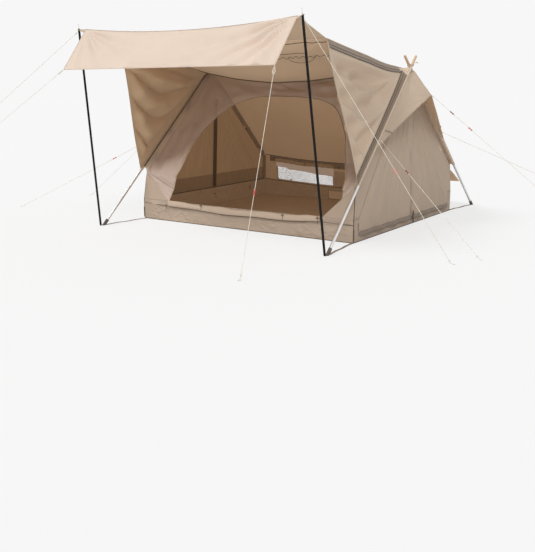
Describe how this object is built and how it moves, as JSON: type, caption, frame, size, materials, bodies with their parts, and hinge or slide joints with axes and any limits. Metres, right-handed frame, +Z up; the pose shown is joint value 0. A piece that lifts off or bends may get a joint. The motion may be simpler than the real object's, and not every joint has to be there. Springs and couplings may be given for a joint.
{
  "type": "canvas tent",
  "caption": "Low canvas tent on crossed poles with a propped front canopy, an arched net doorway, hooded gable doors and guylines.",
  "frame": {"origin": "on the ground under the middle of the ridge", "axes": "+X along the ridge towards the right-hand gable, +Y from the open front to the back, +Z up"},
  "size_m": [6.3522, 4.5943, 1.8746],
  "materials": {
    "canvas": "matte cotton canvas",
    "canvas_light": "matte cotton canvas, sunlit side",
    "floor_cloth": "coated groundsheet",
    "net": "fine insect net",
    "webbing": "woven webbing",
    "cord": "braided cord",
    "aluminium": "bare drawn tube",
    "black_steel": "black powder coat",
    "wood": "turned, bare",
    "rubber": "moulded",
    "red_plastic": "moulded",
    "zip_metal": "antiqued"
  },
  "bodies": {
    "root": {"apex_lashing_left": "webbing", "apex_lashing_right": "webbing", "back_roof": "canvas", "back_wall": "canvas", "base_strap_back_left": "webbing", "base_strap_back_right": "webbing", "base_strap_front_left": "webbing", "base_strap_front_right": "webbing", "foot_cap_back_left": "rubber", "foot_cap_back_right": "rubber", "foot_cap_front_left": "rubber", "foot_cap_front_right": "rubber", "frame_pole_back_left": "aluminium", "frame_pole_back_right": "aluminium", "frame_pole_front_left": "aluminium", "frame_pole_front_right": "aluminium", "front_mesh": "net", "gable_hood_left": "canvas", "gable_hood_right": "canvas", "gable_left": "canvas", "gable_right": "canvas", "guyline_canopy_pole_left": "cord", "guyline_canopy_pole_right": "cord", "guyline_frame_back_right": "cord", "guyline_frame_front_left": "cord", "guyline_frame_front_right": "cord", "guyline_hood_left": "cord", "guyline_hood_right": "cord", "pole_sleeve_back_left": "canvas", "pole_sleeve_back_right": "canvas", "pole_sleeve_front_left": "canvas", "pole_sleeve_front_right": "canvas", "pole_tip_back_left": "wood", "pole_tip_back_right": "wood", "pole_tip_front_left": "wood", "pole_tip_front_right": "wood", "ridge_tape": "webbing", "side_wing_left": "canvas", "side_wing_right": "canvas", "tub_floor": "floor_cloth", "window_mesh": "net"},
    "canopy": {"canopy_panel": "canvas_light"},
    "awning": {"front_awning": "canvas_light", "corner_tab_left": "webbing", "corner_tab_right": "webbing"},
    "flap": {"canopy_flap": "canvas"},
    "rear_awning": {"back_awning": "canvas"},
    "pole_left": {"canopy_pole_left": "black_steel"},
    "door_left_front": {"door_leaf_left_front": "canvas"},
    "door_left_back": {"door_leaf_left_back": "canvas"},
    "flap_line_left": {"guyline_flap_left": "cord"},
    "pole_right": {"canopy_pole_right": "black_steel"},
    "door_right_front": {"door_leaf_right_front": "canvas"},
    "door_right_back": {"door_leaf_right_back": "canvas"},
    "flap_line_right": {"guyline_flap_right": "cord"},
    "zip": {"zip_slider": "zip_metal"},
    "tensioner_frame_front_left": {"tensioner_frame_front_left": "red_plastic"},
    "tensioner_flap_right": {"tensioner_flap_right": "red_plastic"},
    "tensioner_canopy_pole_right": {"tensioner_canopy_pole_right": "red_plastic"},
    "tensioner_frame_front_right": {"tensioner_frame_front_right": "red_plastic"}
  },
  "joints": [
    {"name": "canopy_lower", "type": "hinge", "parent": "root", "child": "canopy", "pos_m": [0, 0, 1.40033], "axis": [1, 0, 0], "range_deg": [0, 51], "deforming": ["side_wing_left", "side_wing_right", "corner_tab_left", "corner_tab_right", "guyline_flap_left", "guyline_flap_right"]},
    {"name": "awning_tilt", "type": "hinge", "parent": "canopy", "child": "awning", "pos_m": [0, -1.42, 1.68], "axis": [1, 0, 0], "range_deg": [-8, 0]},
    {"name": "flap_fold", "type": "hinge", "parent": "awning", "child": "flap", "pos_m": [0, -1.84, 1.7642], "axis": [1, 0, 0], "range_deg": [0, 60]},
    {"name": "back_awning_drop", "type": "hinge", "parent": "root", "child": "rear_awning", "pos_m": [0, 1.0806, 0.49938], "axis": [-1, 0, 0], "range_deg": [0, 50]},
    {"name": "canopy_pole_swing_left", "type": "hinge", "parent": "root", "child": "pole_left", "pos_m": [-1.27, -1.66, 0.01], "axis": [0, -1, 0], "range_deg": [0, 86], "deforming": ["guyline_canopy_pole_left"]},
    {"name": "canopy_pole_swing_right", "type": "hinge", "parent": "root", "child": "pole_right", "pos_m": [1.27, -1.66, 0.01], "axis": [0, 1, 0], "range_deg": [0, 86], "deforming": ["guyline_canopy_pole_right"]},
    {"name": "door_open_left_front", "type": "hinge", "parent": "root", "child": "door_left_front", "pos_m": [-1.2182, -1, 0.2], "axis": [0.0381, 0.6396, 0.7678], "range_deg": [0, 45]},
    {"name": "door_open_left_back", "type": "hinge", "parent": "root", "child": "door_left_back", "pos_m": [-1.2182, 1, 0.2], "axis": [-0.0381, 0.6396, -0.7678], "range_deg": [0, 45]},
    {"name": "door_open_right_front", "type": "hinge", "parent": "root", "child": "door_right_front", "pos_m": [1.2182, -1, 0.2], "axis": [0.0381, -0.6396, -0.7678], "range_deg": [0, 45]},
    {"name": "door_open_right_back", "type": "hinge", "parent": "root", "child": "door_right_back", "pos_m": [1.2182, 1, 0.2], "axis": [-0.0381, -0.6396, 0.7678], "range_deg": [0, 45]},
    {"name": "zip_slide", "type": "slide", "parent": "door_right_front", "child": "zip", "axis": [-0.0496, 0, 0.9988], "range_m": [0, 0.95]},
    {"name": "flap_line_swing_left", "type": "hinge", "parent": "root", "child": "flap_line_left", "pos_m": [-3.33, -2.7, 0.004], "axis": [-0.5081, 0.7045, 0.4955], "range_deg": [0, 37.79]},
    {"name": "flap_line_swing_right", "type": "hinge", "parent": "root", "child": "flap_line_right", "pos_m": [1.175, -2.66, 0.004], "axis": [-0.9989, -0.0379, -0.0266], "range_deg": [0, 69.22]},
    {"name": "tensioner_slide_frame_front_left", "type": "slide", "parent": "root", "child": "tensioner_frame_front_left", "axis": [0.8512, 0.2995, 0.4309], "range_m": [-0.15, 0.15]},
    {"name": "tensioner_slide_flap_right", "type": "slide", "parent": "flap_line_right", "child": "tensioner_flap_right", "axis": [-0.0379, 0.3385, 0.9402], "range_m": [-0.15, 0.15]},
    {"name": "tensioner_slide_canopy_pole_right", "type": "slide", "parent": "root", "child": "tensioner_canopy_pole_right", "axis": [-0.4864, -0.2236, 0.8447], "range_m": [-0.15, 0.15]},
    {"name": "tensioner_slide_frame_front_right", "type": "slide", "parent": "root", "child": "tensioner_frame_front_right", "axis": [-0.7531, 0.2926, 0.5893], "range_m": [-0.15, 0.15]}
  ],
  "couplings": [
    {"joint": "awning_tilt", "follows": "canopy_lower", "ratio": -0.15686},
    {"joint": "flap_fold", "follows": "canopy_lower", "ratio": 1.1765},
    {"joint": "flap_line_swing_left", "follows": "canopy_lower", "ratio": 0.74078},
    {"joint": "flap_line_swing_right", "follows": "canopy_lower", "ratio": 1.3571}
  ]
}
